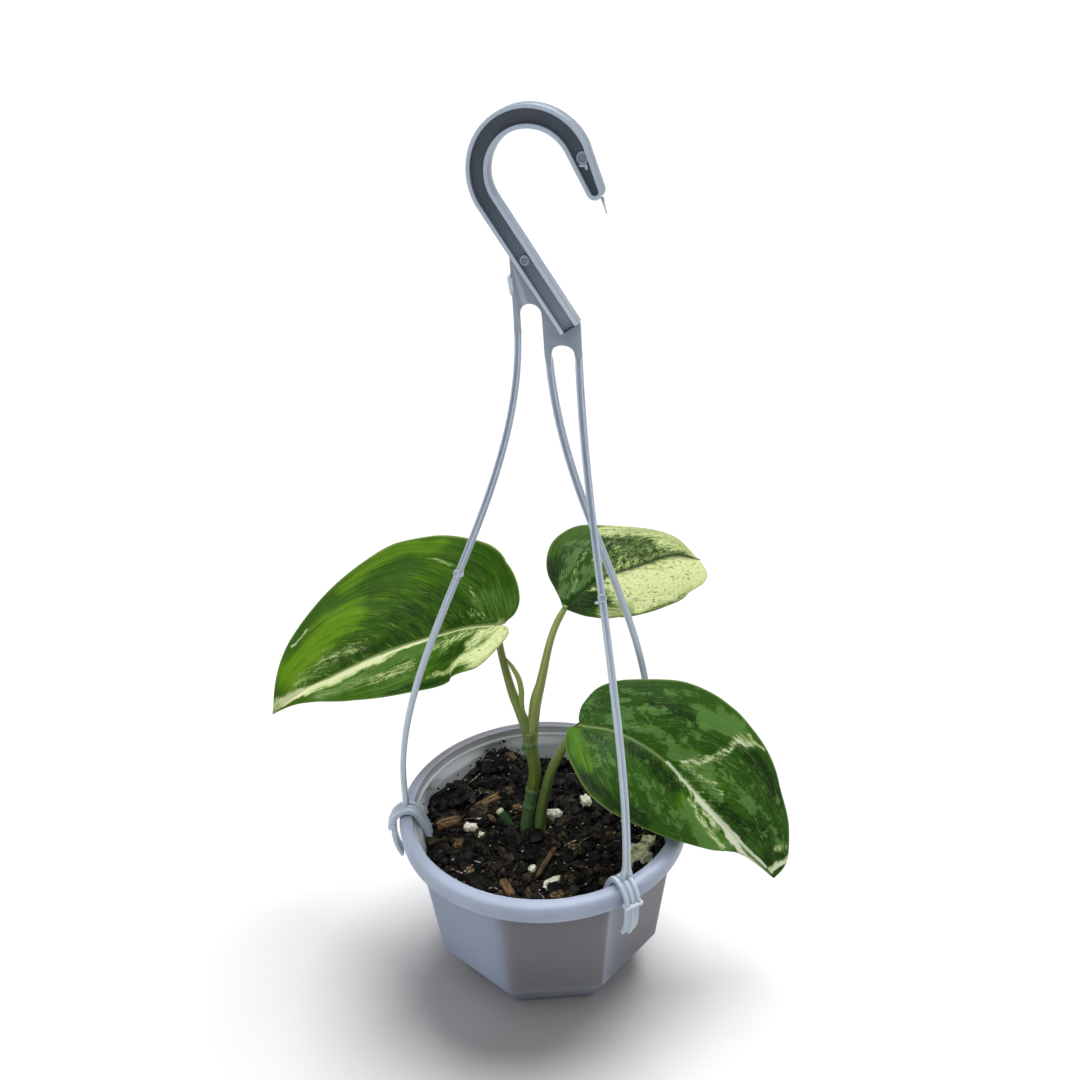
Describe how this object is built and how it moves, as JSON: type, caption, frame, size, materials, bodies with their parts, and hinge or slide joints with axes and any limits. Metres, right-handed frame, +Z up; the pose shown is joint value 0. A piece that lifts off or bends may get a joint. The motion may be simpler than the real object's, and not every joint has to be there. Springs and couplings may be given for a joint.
{
  "type": "potted scindapsus",
  "caption": "Young potted scindapsus with variegated leaves in a faceted plastic hanging pot, with a moulded hook hanger clipped over the rim.",
  "frame": {"origin": "centre of the pot's flat base, on the plane it stands on", "axes": "+Z up along the pot's axis; one of the pot's eight faces looks along -Y, the front of the picture"},
  "size_m": [0.2095, 0.1249, 0.3455],
  "materials": {
    "pot_plastic": "satin pale blue-grey moulded plastic",
    "hanger_plastic": "satin pale blue-grey moulded plastic",
    "potting_mix": "moist dark potting mix",
    "stem_green": "smooth olive green stem",
    "stub_green": "dark green stub with a dry pale end",
    "leaf_variegated": "glossy green leaf with cream and grey-green patches",
    "bark": "fibrous bark",
    "perlite": "chalky white grain",
    "pale_stone": "rough yellowish crumb"
  },
  "bodies": {
    "root": {"pot": "pot_plastic", "hanger": "hanger_plastic", "soil": "potting_mix", "stem": "stem_green", "petiole_lower": "stem_green", "cut_stub": "stub_green", "leaf_left": "leaf_variegated", "leaf_upper": "leaf_variegated", "leaf_lower": "leaf_variegated", "bark_strip": "bark", "bark_left": "bark", "bark_near": "bark", "bark_front": "bark", "bark_stick": "bark", "grain_block": "perlite", "grain_left": "perlite", "grain_side": "perlite", "grain_near": "perlite", "grain_back": "perlite", "grain_front": "perlite", "chip_front": "perlite", "stone_big": "pale_stone", "stone_small": "pale_stone"}
  },
  "joints": []
}
